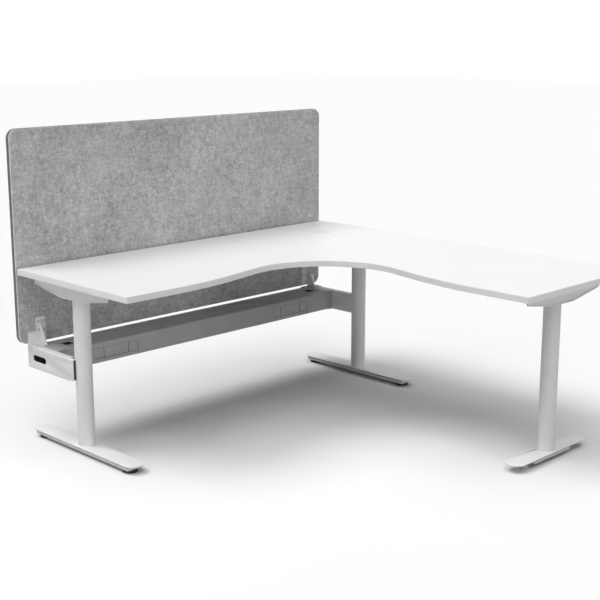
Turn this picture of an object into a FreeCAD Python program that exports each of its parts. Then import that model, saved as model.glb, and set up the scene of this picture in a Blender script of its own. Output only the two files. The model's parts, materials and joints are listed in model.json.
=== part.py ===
import FreeCAD, Part
import math
import os

# L-shaped corner workstation with one acoustic screen, sizes in millimetres.
# Origin: centre of the footprint at floor level, +Z up, screen at the +Y side.
# Places are given as a reach to the left from the outer side edge of the worktop
# and a reach forward from its back edge.

Vector = FreeCAD.Vector

# Worktop
worktop_span = 1800.0
wing_depth = 750.0
worktop_height = 740.0
worktop_thickness = 25.0
wing_narrowing = 68.0
corner_arc_radius = 338.0
flare_angle = math.radians(12.4)
blend_reach_share = 0.4
edge_band_thickness = 2.0
edge_arris = 0.8
outer_corner_radius = 6.0

# Cable port in the corner of the worktop
port_inset = 240.0
port_hole_diameter = 80.0
port_flange_diameter = 92.0
port_flange_height = 2.0
port_rebate_depth = 1.0
port_rebate_play = 0.3
port_sleeve_wall = 5.4
port_ledge_width = 2.5
port_ledge_lift = 0.3
port_cap_skirt = 12.0
port_cap_wall = 1.8
port_notch_width = 38.0
port_notch_depth = 14.0
port_notch_radius = 6.0
port_notch_turn = -135.0

# Acoustic screen
screen_gap = 8.0
screen_thickness = 25.0
screen_height = 900.0
screen_lift = 6.5
screen_corner_radius = 40.0
felt_thickness = 5.0

# Legs
leg_inset = 89.0
leg_setback = 324.0
corner_leg_inset = 56.0
right_leg_inset = 424.0
right_leg_end_inset = 108.0
column_diameter = 70.0
column_wall = 2.5
head_plate_width = 84.0
head_plate_thickness = 6.0
head_plate_radius = 6.0
base_plug_height = 18.0

# Feet and levelling pads
foot_top = 36.0
foot_plate_thickness = 4.0
foot_width = 86.0
foot_end_radius = 42.0
foot_length = 352.0
right_foot_length = 250.0
foot_channel_width = 72.0
foot_channel_wall = 2.5
foot_channel_setback = 30.0
foot_channel_clearance = 15.5
leveller_setback = 61.0
leveller_diameter = 62.0
leveller_height = 12.0
leveller_rim = 10.0
leveller_top_diameter = 56.0
small_leveller_setback = 97.0
small_leveller_diameter = 34.0
small_leveller_top_diameter = 30.0
leveller_stud_diameter = 10.0
leveller_tip_gap = 0.3
leveller_nut_diameter = 20.0

# Support arms under the worktop
arm_half_length = 250.0
arm_width = 96.0
arm_sheet = 3.0
arm_depth = 60.0
arm_tip_depth = 31.0
arm_flat_length = 142.0
arm_tip_radius = 8.0
arm_knee_radius = 24.0
arm_web_radius = 2.0
arm_rim_width = 6.0
arm_inner_half_length = 150.0

# Frame rails under the worktop
rail_width = 50.0
rail_height = 30.0
rail_wall = 2.0
rail_lug = 17.0
rail_lug_thickness = 3.0

# Cable tray and the two channel brackets that carry it
tray_lift = 310.5
tray_overhang = 12.0
tray_width = 172.0
trough_height = 87.0
tray_sheet = 2.0
tray_lip = 12.0
tray_bend = 3.0
lid_skirt = 8.0
lid_side_play = 1.0
lid_screen_play = 1.0
lid_end_gap = 0.5
tray_arm_sheet = 3.0
tray_arm_flange = 31.0
tray_arm_bend = 4.0
tray_arm_inset = 46.0
tray_shelf_width = 20.0
tray_shelf_bite = 1.0
cable_slot_length = 96.0
cable_slot_height = 27.0
cable_slot_round_share = 0.98
pad_thickness = 10.0
pad_grip = 28.0
pad_setback = 6.0
pad_cover_width = 13.0
pad_margin = 6.0
pad_fit = 0.1
right_pad_gap = 10.0
column_play = 1.0

# Outlet blanks in the front wall of the tray and square bushes in its lid
outlet_inset = 211.0
outlet_inset_right = 180.0
outlet_wide = 130.0
outlet_narrow = 53.0
outlet_height = 48.0
outlet_reveal = 2.4
outlet_rim = 3.0
bush_opening = 32.0
bush_wall = 2.0
bush_flange = 2.0
bush_flange_thickness = 1.2
bush_depth = 8.0
bush_inset = 137.0
bush_inset_right = 82.0

# Screen brackets
bracket_sheet = 3.0
bracket_foot_width = 89.0
bracket_foot_length = 55.0
bracket_tall_width = 48.0
bracket_tall = 111.0
bracket_low = 51.0
bracket_radius = 6.0
bracket_step_radius = 3.0
bracket_flange_drop = 2.0
right_bracket_inset = 40.0
bracket_screw_margin = 9.6
bracket_screw_offset = 38.4
right_bracket_screw_offset = 33.4
bracket_foot_screw_shares = (0.3, 0.75)
gusset_top = 102.0
gusset_nose = 6.0
gusset_offset = 31.0
right_gusset_offset = 43.0

# Screws and fits
screw_diameter = 5.0
screw_head_diameter = 10.0
screw_head_height = 2.6
worktop_screw_bite = 16.0
bolt_diameter = 6.0
bolt_head_diameter = 12.0
bolt_head_height = 4.0
head_bolt_pitch = 64.0
foot_bolt_circle = 38.0
foot_bolt_count = 3
foot_bolt_bite = 14.0
pad_bolt_pitch = 56.0
pad_bolt_bite = 7.5
pad_bolt_sink = 0.5
screen_screw_bite = 8.0
thread_fit = 0.05
running_fit = 0.1
overrun = 5.0
point_tolerance = 0.0005

# Places worked out from the sizes above
overall_depth = worktop_span + screen_gap + screen_thickness
outer_x = worktop_span / 2
back_y = overall_depth / 2 - screen_gap - screen_thickness
worktop_underside = worktop_height - worktop_thickness
column_radius = column_diameter / 2
column_top = worktop_underside - arm_sheet - head_plate_thickness
bracket_front = bracket_sheet - screen_gap
tray_back = -tray_overhang
tray_front = tray_back + tray_width
tray_middle = tray_back + tray_width / 2
trough_bottom = tray_lift + tray_arm_sheet
trough_top = trough_bottom + trough_height
lid_top = trough_top + tray_sheet
lid_back = lid_screen_play - screen_gap
tray_arm_top = lid_top + tray_arm_sheet
screen_bottom = tray_arm_top + screen_lift
left_leg_reach = worktop_span - leg_inset
right_leg_reach = worktop_span - right_leg_end_inset
left_web_inside = left_leg_reach + column_radius + pad_thickness
left_web_outside = left_web_inside + tray_arm_sheet
right_flange_edge = tray_arm_inset
right_web_outside = right_flange_edge + tray_arm_flange
right_web_inside = right_web_outside - tray_arm_sheet
left_flange_edge = left_web_outside - tray_arm_flange
arm_inner_bend = tray_arm_bend - tray_arm_sheet
left_bracket_edge = left_web_outside - bracket_foot_width
right_bracket_edge = right_bracket_inset + bracket_foot_width
left_lid_edge = left_bracket_edge - lid_end_gap
right_lid_edge = right_bracket_edge + lid_end_gap


def at(left, forward, height):
    return Vector(outer_x - left, back_y - forward, height)


def block(left, right, back, front, low, high):
    corner = at(max(left, right), max(back, front), low)
    return Part.makeBox(abs(left - right), abs(front - back), high - low, corner)


def rod(radius, start, direction, length):
    return Part.makeCylinder(radius, length, start, direction)


# Outline of straight sides whose corners are rounded by their own radii
def rounded_outline(points, radii, place):
    count = len(points)
    edges = []
    ends = []
    for index in range(count):
        here = Vector(points[index][0], points[index][1], 0)
        before = Vector(points[index - 1][0], points[index - 1][1], 0)
        after = Vector(points[(index + 1) % count][0], points[(index + 1) % count][1], 0)
        radius = radii[index]
        if radius == 0:
            ends.append((here, here, None))
            continue
        toward = (before - here).normalize()
        away = (after - here).normalize()
        half = toward.getAngle(away) / 2
        reach = radius / math.tan(half)
        middle = (toward + away).normalize()
        centre = here + middle * (radius / math.sin(half))
        ends.append((here + toward * reach, here + away * reach, centre - middle * radius))
    for index in range(count):
        start, stop, bulge = ends[index]
        if bulge is not None:
            edges.append(Part.Arc(place(start), place(bulge), place(stop)).toShape())
        following = ends[(index + 1) % count][0]
        if (following - stop).Length > point_tolerance:
            edges.append(Part.LineSegment(place(stop), place(following)).toShape())
    return Part.Face(Part.Wire(edges))


# Flat plate seen from above, rounded at every corner
def plan_plate(left, right, back, front, low, high, radius):
    points = [(left, back), (right, back), (right, front), (left, front)]
    face = rounded_outline(points, [radius] * 4, lambda p: at(p.x, p.y, low))
    return face.extrude(Vector(0, 0, high - low))


# Outline drawn from side to side and upward, then given a thickness toward the front
def front_plate(points, radii, back, thickness):
    face = rounded_outline(points, radii, lambda p: at(p.x, back, p.y))
    return face.extrude(Vector(0, -thickness, 0))


# Outline drawn from back to front and upward, then run toward the left
def side_run(points, radii, right, left):
    face = rounded_outline(points, radii, lambda p: at(right, p.x, p.y))
    return face.extrude(Vector(right - left, 0, 0))


# Outline drawn from side to side and upward, then run from back to front
def depth_run(points, radii, back, front):
    face = rounded_outline(points, radii, lambda p: at(p.x, back, p.y))
    return face.extrude(Vector(0, back - front, 0))


def fastener(seat, direction, reach, diameter, head_diameter, head_height):
    shank = rod(diameter / 2, seat, direction, reach)
    head = rod(head_diameter / 2, seat, direction * -1, head_height)
    return shank.fuse(head).removeSplitter()


def bore(seat, direction, reach, diameter):
    return rod(diameter / 2 + thread_fit, seat - direction * overrun, direction, reach + overrun)


# Worktop outline, drawn in by the inset: two wings, a flare and a corner arc
def worktop_outline(inset, height):
    near = inset
    far = worktop_span - inset
    inner = wing_depth - inset
    corner_radius = corner_arc_radius + inset
    arc_centre = wing_depth - wing_narrowing + corner_arc_radius * math.cos(flare_angle)
    flare_start = arc_centre + corner_arc_radius * math.sin(flare_angle)
    flare_end = flare_start + wing_narrowing / math.tan(flare_angle)
    blend_reach = (worktop_span - flare_end) * blend_reach_share
    blend_arc_radius = blend_reach / math.tan(flare_angle / 2)
    blend_radius = blend_arc_radius - inset
    blend_end = flare_end + blend_reach
    blend_centre = wing_depth - blend_arc_radius

    def blend_point(angle):
        return (blend_end - blend_radius * math.sin(angle),
                blend_centre + blend_radius * math.cos(angle))

    def corner_point(angle):
        return (arc_centre + corner_radius * math.sin(angle),
                arc_centre - corner_radius * math.cos(angle))

    def spot(point):
        return at(point[0], point[1], height)

    def swapped(point):
        return (point[1], point[0])

    outer_radius = outer_corner_radius - inset
    long_blend = [blend_point(0), blend_point(flare_angle / 2), blend_point(flare_angle)]
    touch = corner_point(flare_angle)
    deepest = corner_point(-math.pi / 4)
    edges = []

    def line(start, stop):
        edges.append(Part.LineSegment(spot(start), spot(stop)).toShape())

    def arc(start, middle, stop):
        edges.append(Part.Arc(spot(start), spot(middle), spot(stop)).toShape())

    # rounded outer corners, each with the directions along its two sides
    def round_corner(corner, first, second):
        start = (corner[0] + first[0] * outer_radius, corner[1] + first[1] * outer_radius)
        stop = (corner[0] + second[0] * outer_radius, corner[1] + second[1] * outer_radius)
        share = outer_radius * (1 - math.sqrt(0.5))
        middle = (corner[0] + (first[0] + second[0]) * share,
                  corner[1] + (first[1] + second[1]) * share)
        return start, middle, stop

    corners = [
        round_corner((near, near), (0, 1), (1, 0)),
        round_corner((far, near), (-1, 0), (0, 1)),
        round_corner((far, inner), (0, -1), (-1, 0)),
        round_corner((inner, far), (0, -1), (-1, 0)),
        round_corner((near, far), (1, 0), (0, -1)),
    ]
    arc(*corners[0])
    line(corners[0][2], corners[1][0])
    arc(*corners[1])
    line(corners[1][2], corners[2][0])
    arc(*corners[2])
    line(corners[2][2], long_blend[0])
    arc(*long_blend)
    line(long_blend[2], touch)
    arc(touch, deepest, swapped(touch))
    line(swapped(touch), swapped(long_blend[2]))
    arc(swapped(long_blend[2]), swapped(long_blend[1]), swapped(long_blend[0]))
    line(swapped(long_blend[0]), corners[3][0])
    arc(*corners[3])
    line(corners[3][2], corners[4][0])
    arc(*corners[4])
    line(corners[4][2], corners[0][0])
    return Part.Face(Part.Wire(edges))


def worktop_slab(inset):
    face = worktop_outline(inset, worktop_underside)
    return face.extrude(Vector(0, 0, worktop_thickness))


# The band's long outer edges are eased by a small arris
def make_edge_band(board):
    slab = worktop_slab(0)
    rims = [edge for edge in slab.Edges if edge.BoundBox.ZLength < point_tolerance]
    return slab.makeFillet(edge_arris, rims).cut(board)


# Each leg: column place, turn about the upright, reach of the foot, its levelling pads and
# the side of its arm that faces away from the desk
wide_pads = (leveller_setback, leveller_diameter, leveller_top_diameter)
small_pads = (small_leveller_setback, small_leveller_diameter, small_leveller_top_diameter)
legs = {
    "left": (left_leg_reach, leg_setback, 0, foot_length, wide_pads, -1),
    "corner": (corner_leg_inset, leg_setback, 0, foot_length, wide_pads, 1),
    "right": (right_leg_inset, right_leg_reach, -90, right_foot_length, small_pads, 1),
}


# A piece drawn round the upright axis at the origin goes to its leg
def place_on_leg(shape, leg):
    left, forward, turn = leg[0], leg[1], leg[2]
    placed = shape.copy()
    placed.rotate(Vector(0, 0, 0), Vector(0, 0, 1), turn)
    placed.translate(at(left, forward, 0))
    return placed


def leg_plate(half_width, front, back, low, high, radius):
    points = [(-half_width, -front), (half_width, -front), (half_width, back), (-half_width, back)]
    face = rounded_outline(points, [radius] * 4, lambda p: Vector(p.x, p.y, low))
    return face.extrude(Vector(0, 0, high - low))


def head_bolt_spots():
    half = head_bolt_pitch / 2
    return [Vector(x, y, column_top) for x in (-half, half) for y in (-half, half)]


def foot_bolt_spots():
    radius = foot_bolt_circle / 2
    low = foot_top - foot_plate_thickness - foot_channel_wall
    turns = [0.25 + step / foot_bolt_count for step in range(foot_bolt_count)]
    angles = [2 * math.pi * turn for turn in turns]
    return [Vector(radius * math.cos(a), radius * math.sin(a), low) for a in angles]


# Two wood screws at each side of the column, in the web of the support arm
def arm_screw_spots():
    low = worktop_underside - arm_sheet
    outer = arm_half_length - head_plate_width / 2
    inner = (outer + head_plate_width) / 2
    return [Vector(0, y, low) for y in (-outer, -inner, inner, outer)]


up = Vector(0, 0, 1)
head_bolt_reach = head_plate_thickness + arm_sheet
foot_bolt_reach = foot_channel_wall + foot_plate_thickness + foot_bolt_bite
arm_screw_reach = arm_sheet + worktop_screw_bite


def make_column():
    height = column_top - foot_top
    outer = rod(column_radius, Vector(0, 0, foot_top), up, height)
    inner = rod(column_radius - column_wall, Vector(0, 0, foot_top - overrun), up, height + 2 * overrun)
    return outer.cut(inner)


def make_head_plate():
    half = head_plate_width / 2
    top = column_top + head_plate_thickness
    plate = leg_plate(half, half, half, column_top, top, head_plate_radius)
    for spot in head_bolt_spots():
        plate = plate.cut(bore(spot, up, head_bolt_reach + overrun, bolt_diameter))
    return plate


def make_base_plug():
    radius = column_radius - column_wall - thread_fit
    plug = rod(radius, Vector(0, 0, foot_top), up, base_plug_height)
    for spot in foot_bolt_spots():
        plug = plug.cut(bore(spot, up, foot_bolt_reach + thread_fit, bolt_diameter))
    return plug


def arm_profile_points(half_length):
    top = worktop_underside
    flat = arm_flat_length / 2
    return [
        (-half_length, top), (-half_length, top - arm_tip_depth), (-flat, top - arm_depth),
        (flat, top - arm_depth), (half_length, top - arm_tip_depth), (half_length, top),
    ]


# Folded arm: a web under the worktop and two tapered sides with an outward rim; the side
# toward the middle of the desk is shorter
def make_support_arm(outward):
    half = arm_width / 2
    length = arm_half_length
    top = worktop_underside
    web = leg_plate(half, length, length, top - arm_sheet, top, arm_web_radius)
    rim_tip_radius = arm_tip_radius - arm_sheet
    radii = [0, arm_tip_radius, arm_knee_radius, arm_knee_radius, arm_tip_radius, 0]
    rim_radii = [0, rim_tip_radius, arm_knee_radius, arm_knee_radius, rim_tip_radius, 0]
    outer_points = arm_profile_points(length)
    inner_points = []
    for along, height in arm_profile_points(length - arm_sheet):
        raised = height + overrun if height == top else height + arm_sheet
        inner_points.append((along, raised))
    pieces = [web]
    short = arm_inner_half_length
    reach = leg_plate(half + arm_rim_width, short, short, top - arm_depth - overrun, top, 0)
    for side in (-1, 1):
        outside = side * half
        inside = side * (half - arm_sheet)
        rim_edge = side * (half + arm_rim_width)
        face = rounded_outline(outer_points, radii, lambda p: Vector(inside, p.x, p.y))
        wall = face.extrude(Vector(outside - inside, 0, 0))
        rim = rounded_outline(outer_points, radii, lambda p: Vector(outside, p.x, p.y))
        hollow = rounded_outline(inner_points, rim_radii, lambda p: Vector(outside, p.x, p.y))
        run = Vector(rim_edge - outside, 0, 0)
        rim = rim.extrude(run).cut(hollow.extrude(run))
        if side != outward:
            wall = wall.common(reach)
            rim = rim.common(reach)
        pieces.extend([wall, rim])
    arm = pieces[0].multiFuse(pieces[1:]).removeSplitter()
    for spot in head_bolt_spots():
        arm = arm.cut(bore(spot, up, head_bolt_reach + overrun, bolt_diameter))
    for spot in arm_screw_spots():
        arm = arm.cut(bore(spot, up, arm_screw_reach, screw_diameter))
    return arm


def make_foot_plate(reach):
    half = foot_width / 2
    low = foot_top - foot_plate_thickness
    plate = leg_plate(half, reach, reach, low, foot_top, foot_end_radius)
    for spot in foot_bolt_spots():
        plate = plate.cut(bore(spot, up, foot_bolt_reach, bolt_diameter))
    return plate


def leveller_spots(reach, setback):
    return {"front": Vector(0, setback - reach, 0), "back": Vector(0, reach - setback, 0)}


# Square-ended pan, open below, that stiffens the foot plate and holds the nuts
def make_foot_channel(reach, setback):
    half = foot_channel_width / 2
    wall = foot_channel_wall
    top = foot_top - foot_plate_thickness
    length = reach - foot_channel_setback
    inside = length - wall
    low = foot_channel_clearance
    outer = leg_plate(half, length, length, low, top, wall)
    hollow = leg_plate(half - wall, inside, inside, low - overrun, top - wall, wall / 2)
    channel = outer.cut(hollow)
    for spot in foot_bolt_spots():
        channel = channel.cut(bore(spot, up, foot_bolt_reach, bolt_diameter))
    hole_radius = leveller_stud_diameter / 2 + running_fit
    for spot in leveller_spots(reach, setback).values():
        channel = channel.cut(rod(hole_radius, spot, up, top + overrun))
    return channel


def make_leveller(spot, diameter, top_diameter):
    rim = diameter / 2
    shoulder = top_diameter / 2
    stud = leveller_stud_diameter / 2
    top = foot_top - foot_plate_thickness - leveller_tip_gap
    points = [(0, 0), (rim, 0), (rim, leveller_rim), (shoulder, leveller_height),
              (stud, leveller_height), (stud, top), (0, top)]
    face = rounded_outline(points, [0] * len(points), lambda p: Vector(p.x, 0, p.y))
    pad = face.revolve(Vector(0, 0, 0), up, 360)
    pad.translate(spot)
    return pad


def make_leveller_nut(spot):
    low = foot_channel_clearance
    high = foot_top - foot_plate_thickness - foot_channel_wall
    nut = rod(leveller_nut_diameter / 2, spot + up * low, up, high - low)
    return nut.cut(rod(leveller_stud_diameter / 2 + thread_fit, spot, up, high + overrun))


# Tubes under the worktop tie the support arms together, bolted at their lugs
def rail_bolt_offset():
    return (rail_width + rail_lug) / 2


def make_rear_rail():
    start = corner_leg_inset + arm_width / 2
    stop = left_leg_reach - arm_width / 2
    low = worktop_underside - rail_height
    high = worktop_underside
    half = rail_width / 2
    wall = rail_wall
    outer = block(start, stop, leg_setback - half, leg_setback + half, low, high)
    inner = block(start - overrun, stop + overrun, leg_setback - half + wall,
                  leg_setback + half - wall, low + wall, high - wall)
    rail = outer.cut(inner)
    for first, second in ((start, start + rail_lug_thickness), (stop - rail_lug_thickness, stop)):
        reach = half + rail_lug
        lug = block(first, second, leg_setback - reach, leg_setback + reach, low, high)
        rail = rail.fuse(lug)
    return rail.removeSplitter()


def make_return_rail():
    start = leg_setback + rail_width / 2
    stop = right_leg_reach - arm_width / 2
    low = worktop_underside - rail_height
    high = worktop_underside
    half = rail_width / 2
    wall = rail_wall
    middle = right_leg_inset
    outer = block(middle - half, middle + half, start, stop, low, high)
    inner = block(middle - half + wall, middle + half - wall, start - overrun, stop + overrun,
                  low + wall, high - wall)
    rail = outer.cut(inner)
    for first, second in ((start, start + rail_lug_thickness), (stop - rail_lug_thickness, stop)):
        reach = half + rail_lug
        lug = block(middle - reach, middle + reach, first, second, low, high)
        rail = rail.fuse(lug)
    return rail.removeSplitter()


# Seats and directions of the bolts that hold the rails' lugs
def rail_bolts():
    height = worktop_underside - rail_height / 2 - rail_wall
    offset = rail_bolt_offset()
    start = corner_leg_inset + arm_width / 2 + rail_lug_thickness
    stop = left_leg_reach - arm_width / 2 - rail_lug_thickness
    return_start = leg_setback + rail_width / 2 + rail_lug_thickness
    return_stop = right_leg_reach - arm_width / 2 - rail_lug_thickness
    spots = []
    for side in (-offset, offset):
        spots.append((at(start, leg_setback + side, height), Vector(1, 0, 0)))
        spots.append((at(stop, leg_setback + side, height), Vector(-1, 0, 0)))
        spots.append((at(right_leg_inset + side, return_stop, height), Vector(0, -1, 0)))
        spots.append((at(right_leg_inset + side, return_start, height), Vector(0, 1, 0)))
    return spots


rail_bolt_reach = rail_lug_thickness + arm_sheet


# Cable port: a flanged liner with a ledge, and a cap that turns on it
def port_centre(height):
    return at(port_inset, port_inset, height)


def make_port_liner():
    hole = port_hole_diameter / 2
    sleeve = hole - running_fit
    inner = hole - port_sleeve_wall
    pocket = inner + port_ledge_width
    flange = port_flange_diameter / 2
    top = worktop_height + port_flange_height
    seat = worktop_height - port_rebate_depth
    ledge = worktop_height - port_ledge_lift
    liner = rod(sleeve, port_centre(worktop_underside), up, worktop_thickness)
    liner = liner.fuse(rod(flange, port_centre(seat), up, top - seat))
    liner = liner.cut(rod(inner, port_centre(worktop_underside - overrun), up, top))
    liner = liner.cut(rod(pocket, port_centre(ledge), up, top))
    return liner.removeSplitter()


def make_port_cap():
    inner = port_hole_diameter / 2 - port_sleeve_wall
    pocket = inner + port_ledge_width
    low = worktop_height
    disc = rod(pocket - running_fit, port_centre(low), up, port_flange_height)
    skirt_radius = inner - running_fit
    bottom = low - port_cap_skirt
    skirt = rod(skirt_radius, port_centre(bottom), up, port_cap_skirt)
    skirt = skirt.cut(rod(skirt_radius - port_cap_wall, port_centre(bottom - overrun), up,
                          port_cap_skirt + overrun))
    cap = disc.fuse(skirt)
    return cap.cut(port_notch(bottom - overrun, low + port_flange_height + overrun)).removeSplitter()


# The notch opens at the front of the cap, toward the user
def port_notch(low, high):
    half = port_notch_width / 2
    radius = port_hole_diameter / 2
    inside = radius - port_sleeve_wall - port_notch_depth
    points = [(inside, -half), (radius, -half), (radius, half), (inside, half)]
    radii = [port_notch_radius, 0, 0, port_notch_radius]
    face = rounded_outline(points, radii, lambda p: Vector(p.x, p.y, low))
    notch = face.extrude(up * (high - low))
    notch.rotate(Vector(0, 0, 0), up, port_notch_turn)
    notch.translate(port_centre(0))
    return notch


# Screen: a stiff core between two felt faces
def screen_layer(back, thickness):
    top = screen_bottom + screen_height
    points = [(0, screen_bottom), (worktop_span, screen_bottom), (worktop_span, top), (0, top)]
    return front_plate(points, [screen_corner_radius] * 4, back, thickness)


def make_screen():
    back = -screen_gap - screen_thickness
    core_thickness = screen_thickness - 2 * felt_thickness
    layers = {
        "screen_felt_back": screen_layer(back, felt_thickness),
        "screen_core": screen_layer(back + felt_thickness, core_thickness),
        "screen_felt_front": screen_layer(-screen_gap - felt_thickness, felt_thickness),
    }
    for seat, direction in screen_screws():
        hole = bore(seat, direction, screen_screw_reach, screw_diameter)
        layers["screen_felt_front"] = layers["screen_felt_front"].cut(hole)
        layers["screen_core"] = layers["screen_core"].cut(hole)
    return layers


# Screen bracket: stepped upright flange, gusset and a foot outside the gusset
def make_screen_bracket(edge, side, gusset_place):
    low = tray_arm_top
    foot_high = low + bracket_sheet
    flange_back = -screen_gap
    step = edge - side * (bracket_foot_width - bracket_tall_width)
    inner = edge - side * bracket_foot_width
    foot_front = bracket_front + bracket_foot_length
    half = bracket_sheet / 2
    gusset_side = inner + side * gusset_place
    foot_end = gusset_side - side * half
    foot = plan_plate(edge, foot_end, flange_back, foot_front, low, foot_high, 0)
    rise = foot_high + bracket_low
    top = foot_high + bracket_tall
    hem = screen_bottom + bracket_flange_drop
    points = [(edge, low), (foot_end, low), (foot_end, hem), (inner, hem), (inner, top), (step, top),
              (step, rise), (edge, rise)]
    radii = [0, 0, 0, 0, bracket_radius, bracket_radius, bracket_step_radius, bracket_radius]
    flange = front_plate(points, radii, flange_back, bracket_sheet)
    gusset_end = foot_front - gusset_nose
    gusset_points = [(bracket_front, foot_high), (gusset_end, foot_high),
                     (gusset_end, foot_high + gusset_nose), (bracket_front, foot_high + gusset_top)]
    square = [0] * len(gusset_points)
    gusset = side_run(gusset_points, square, gusset_side - half, gusset_side + half)
    return foot.multiFuse([flange, gusset]).removeSplitter()


# Outer edge of each bracket, its hand (1 left, -1 right), gusset and outer screws
def bracket_sides():
    return {
        "left": (left_web_outside, 1, gusset_offset, bracket_screw_offset),
        "right": (right_bracket_inset, -1, right_gusset_offset, right_bracket_screw_offset),
    }


# Two screws high and two low in the tall part of each bracket's flange
def screen_screws():
    spots = []
    margin = bracket_screw_margin
    for edge, side, _, screw_place in bracket_sides().values():
        inner = edge - side * bracket_foot_width
        top = tray_arm_top + bracket_sheet + bracket_tall
        for height in (top - 2 * margin, top - bracket_tall / 2):
            for across in (inner + side * margin, inner + side * screw_place):
                spots.append((at(across, bracket_front, height), Vector(0, 1, 0)))
    return spots


screen_screw_reach = bracket_sheet + felt_thickness + screen_screw_bite


# Screws through the bracket's foot into the flange of the channel below
def bracket_foot_screws():
    spots = []
    seat = tray_arm_top + bracket_sheet
    for edge, side, _, _ in bracket_sides().values():
        across = edge - side * tray_arm_flange / 2
        for share in bracket_foot_screw_shares:
            forward = bracket_front + bracket_foot_length * share
            spots.append((at(across, forward, seat), Vector(0, 0, -1)))
    return spots


bracket_foot_reach = bracket_sheet + tray_arm_sheet


# Channel bracket at each end of the tray
def channel_section(edge, side):
    low = tray_lift
    high = tray_arm_top
    wall = tray_arm_sheet
    tip = edge - side * tray_arm_flange
    inside = edge - side * wall
    points = [(edge, low), (tip, low), (tip, low + wall), (inside, low + wall),
              (inside, high - wall), (tip, high - wall), (tip, high), (edge, high)]
    radii = [tray_arm_bend, 0, 0, arm_inner_bend, arm_inner_bend, 0, 0, tray_arm_bend]
    return points, radii


def cable_slot(edge):
    length = cable_slot_length / 2
    half = cable_slot_height / 2
    middle = (tray_lift + tray_arm_top) / 2
    low = middle - half
    high = middle + half
    points = [(tray_middle - length, low), (tray_middle + length, low),
              (tray_middle + length, high), (tray_middle - length, high)]
    radii = [half * cable_slot_round_share] * len(points)
    return side_run(points, radii, edge - tray_arm_sheet - overrun, edge + tray_arm_sheet + overrun)


def left_flange_end():
    return leg_setback - column_radius - pad_margin


def left_pad_end():
    return leg_setback - pad_setback


# The top flange goes on as a narrow tongue over the pad
def make_left_tray_arm():
    points, radii = channel_section(left_web_outside, 1)
    channel = depth_run(points, radii, tray_back, left_flange_end())
    tab = block(left_web_outside, left_web_inside, left_flange_end(), left_pad_end(),
                tray_lift + tray_arm_bend, tray_arm_top - tray_arm_bend)
    tongue_edge = left_web_outside - pad_cover_width
    tongue = depth_run(points, radii, left_flange_end(), left_pad_end())
    tongue = tongue.common(block(left_web_outside, tongue_edge, left_flange_end(), left_pad_end(),
                                 tray_arm_top - tray_arm_bend, tray_arm_top))
    arm = channel.multiFuse([tab, tongue]).cut(cable_slot(left_web_outside))
    for seat, direction in pad_bolts("left"):
        arm = arm.cut(bore(seat, direction, pad_bolt_reach, bolt_diameter))
    for seat, direction in bracket_foot_screws():
        arm = arm.cut(bore(seat, direction, bracket_foot_reach + overrun, screw_diameter))
    return arm.removeSplitter()


def right_arm_end():
    return leg_setback - column_radius - right_pad_gap


# Its flanges face outward, so a shelf on its inner face carries the trough
def make_right_tray_arm():
    points, radii = channel_section(right_web_outside, 1)
    end = right_arm_end()
    channel_end = leg_setback - column_radius - column_play
    channel = depth_run(points, radii, tray_back, channel_end)
    tab = block(right_web_inside, right_flange_edge, end - tray_arm_sheet, end,
                trough_bottom, lid_top)
    apron = block(right_web_inside, right_web_outside, channel_end, end + right_pad_gap + pad_margin,
                  tray_lift + tray_arm_bend, tray_arm_top - tray_arm_bend)
    apron = apron.cut(column_space(corner_leg_inset, leg_setback))
    shelf = block(right_web_inside + tray_shelf_bite, right_web_outside + tray_shelf_width,
                  tray_back, tray_front, tray_lift, trough_bottom)
    arm = channel.multiFuse([tab, apron, shelf]).cut(cable_slot(right_web_outside))
    for seat, direction in pad_bolts("right"):
        arm = arm.cut(bore(seat, direction, pad_bolt_reach, bolt_diameter))
    for seat, direction in bracket_foot_screws():
        arm = arm.cut(bore(seat, direction, bracket_foot_reach + overrun, screw_diameter))
    return arm.removeSplitter()


# Saddle pads between the channel brackets and the round columns
def column_space(left, forward):
    radius = column_radius + pad_fit
    return rod(radius, at(left, forward, tray_lift - overrun), up, tray_arm_top)


def make_left_pad():
    low = tray_lift + 2 * tray_arm_bend
    high = tray_arm_top - tray_arm_bend
    pad = block(left_web_inside, left_web_inside - pad_grip, left_flange_end() + pad_fit,
                left_pad_end(), low, high)
    pad = pad.cut(column_space(left_leg_reach, leg_setback))
    for seat, direction in pad_bolts("left"):
        pad = pad.cut(bore(seat, direction, pad_bolt_reach, bolt_diameter))
    return pad


def make_right_pad():
    low = tray_lift + tray_arm_bend
    high = tray_arm_top - tray_arm_bend
    end = right_arm_end()
    pad = block(right_web_inside, right_flange_edge, end, end + right_pad_gap + pad_margin, low, high)
    pad = pad.cut(column_space(corner_leg_inset, leg_setback))
    for seat, direction in pad_bolts("right"):
        pad = pad.cut(bore(seat, direction, pad_bolt_reach, bolt_diameter))
    return pad


# Seats and directions of the bolts through each pad into its column
def pad_bolts(side):
    middle = (tray_lift + tray_arm_top) / 2
    spread = pad_bolt_pitch / 2
    spots = []
    for height in (middle - spread, middle + spread):
        if side == "left":
            forward = left_pad_end() - bolt_diameter
            seat = at(left_web_outside - pad_bolt_sink, forward, height)
            spots.append((seat, Vector(1, 0, 0)))
        else:
            seat = at(corner_leg_inset + bolt_diameter, right_arm_end() - tray_arm_sheet, height)
            spots.append((seat, Vector(0, -1, 0)))
    return spots


pad_bolt_reach = tray_arm_sheet + pad_thickness + pad_bolt_bite


def make_pad_bolts(side):
    bolts = []
    for seat, direction in pad_bolts(side):
        if side == "left":
            bolts.append(rod(bolt_diameter / 2, seat, direction, pad_bolt_reach))
        else:
            bolts.append(fastener(seat, direction, pad_bolt_reach, bolt_diameter,
                                  bolt_head_diameter, bolt_head_height))
    return bolts


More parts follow.
